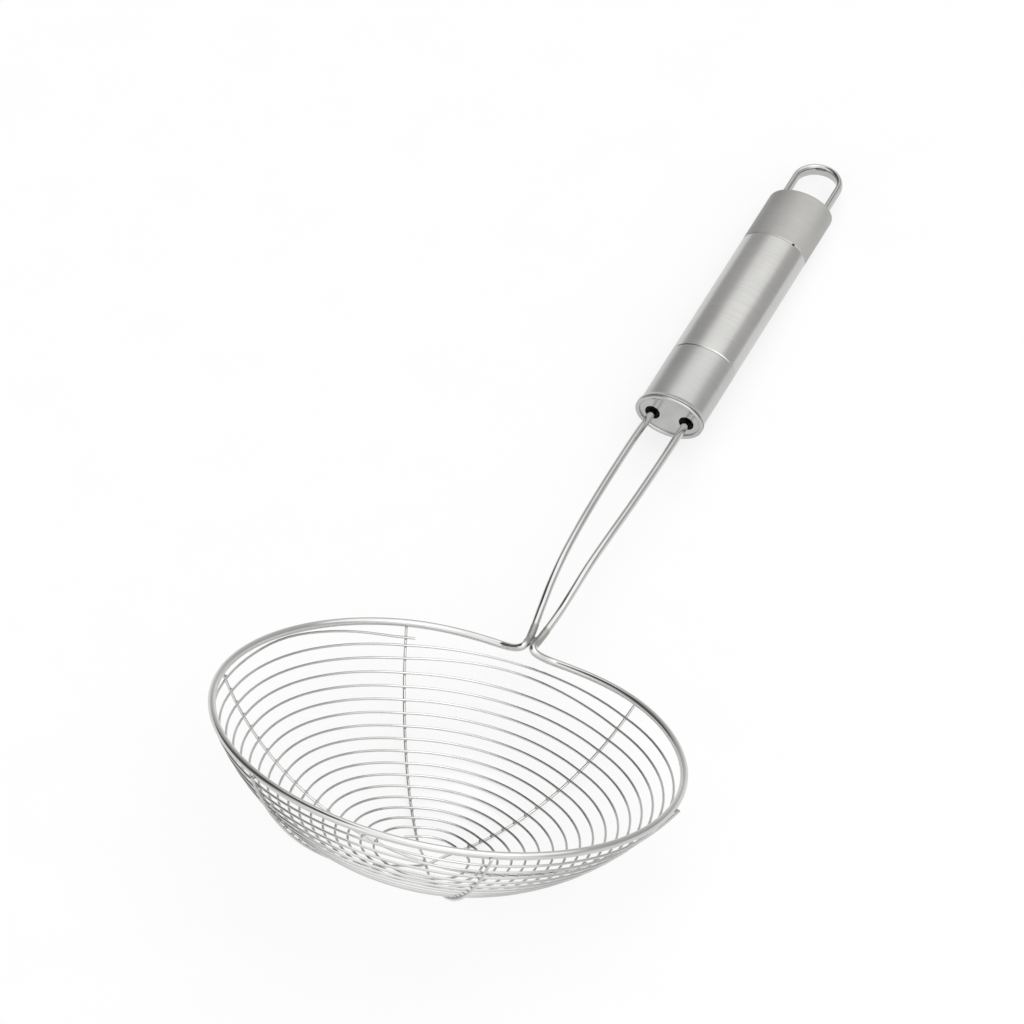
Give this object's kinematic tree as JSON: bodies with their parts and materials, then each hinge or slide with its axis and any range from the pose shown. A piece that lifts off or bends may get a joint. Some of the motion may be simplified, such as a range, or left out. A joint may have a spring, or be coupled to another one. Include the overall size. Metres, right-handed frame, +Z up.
{
  "type": "skimmer",
  "caption": "Wire skimmer: a bowl wound from one spiral of thin wire on ribs, in a thick rim that runs on as two legs into a hollow oval handle with a hanging loop.",
  "frame": {"origin": "on the table, below the middle of the whole object's bounding box", "axes": "+X along the skimmer from the bowl to the hanging loop, +Y to the left when looking along +X, +Z up; it lies on the bowl's underside and the far end of the handle"},
  "size_m": [0.4102, 0.165, 0.0854],
  "materials": {
    "wire_steel": "bright drawn wire",
    "satin_steel": "satin, brushed round the handle",
    "polished_steel": "polished",
    "dark_plastic": "moulded"
  },
  "bodies": {
    "root": {"rim_wire": "wire_steel", "spiral_wire": "wire_steel", "rib_wire_1": "wire_steel", "rib_wire_2": "wire_steel", "rib_wire_3": "wire_steel", "handle_tube": "satin_steel", "front_cap": "satin_steel", "rear_cap": "satin_steel", "leg_anchor_plug": "dark_plastic", "loop_anchor_plug": "dark_plastic", "hang_loop": "polished_steel"}
  },
  "joints": []
}
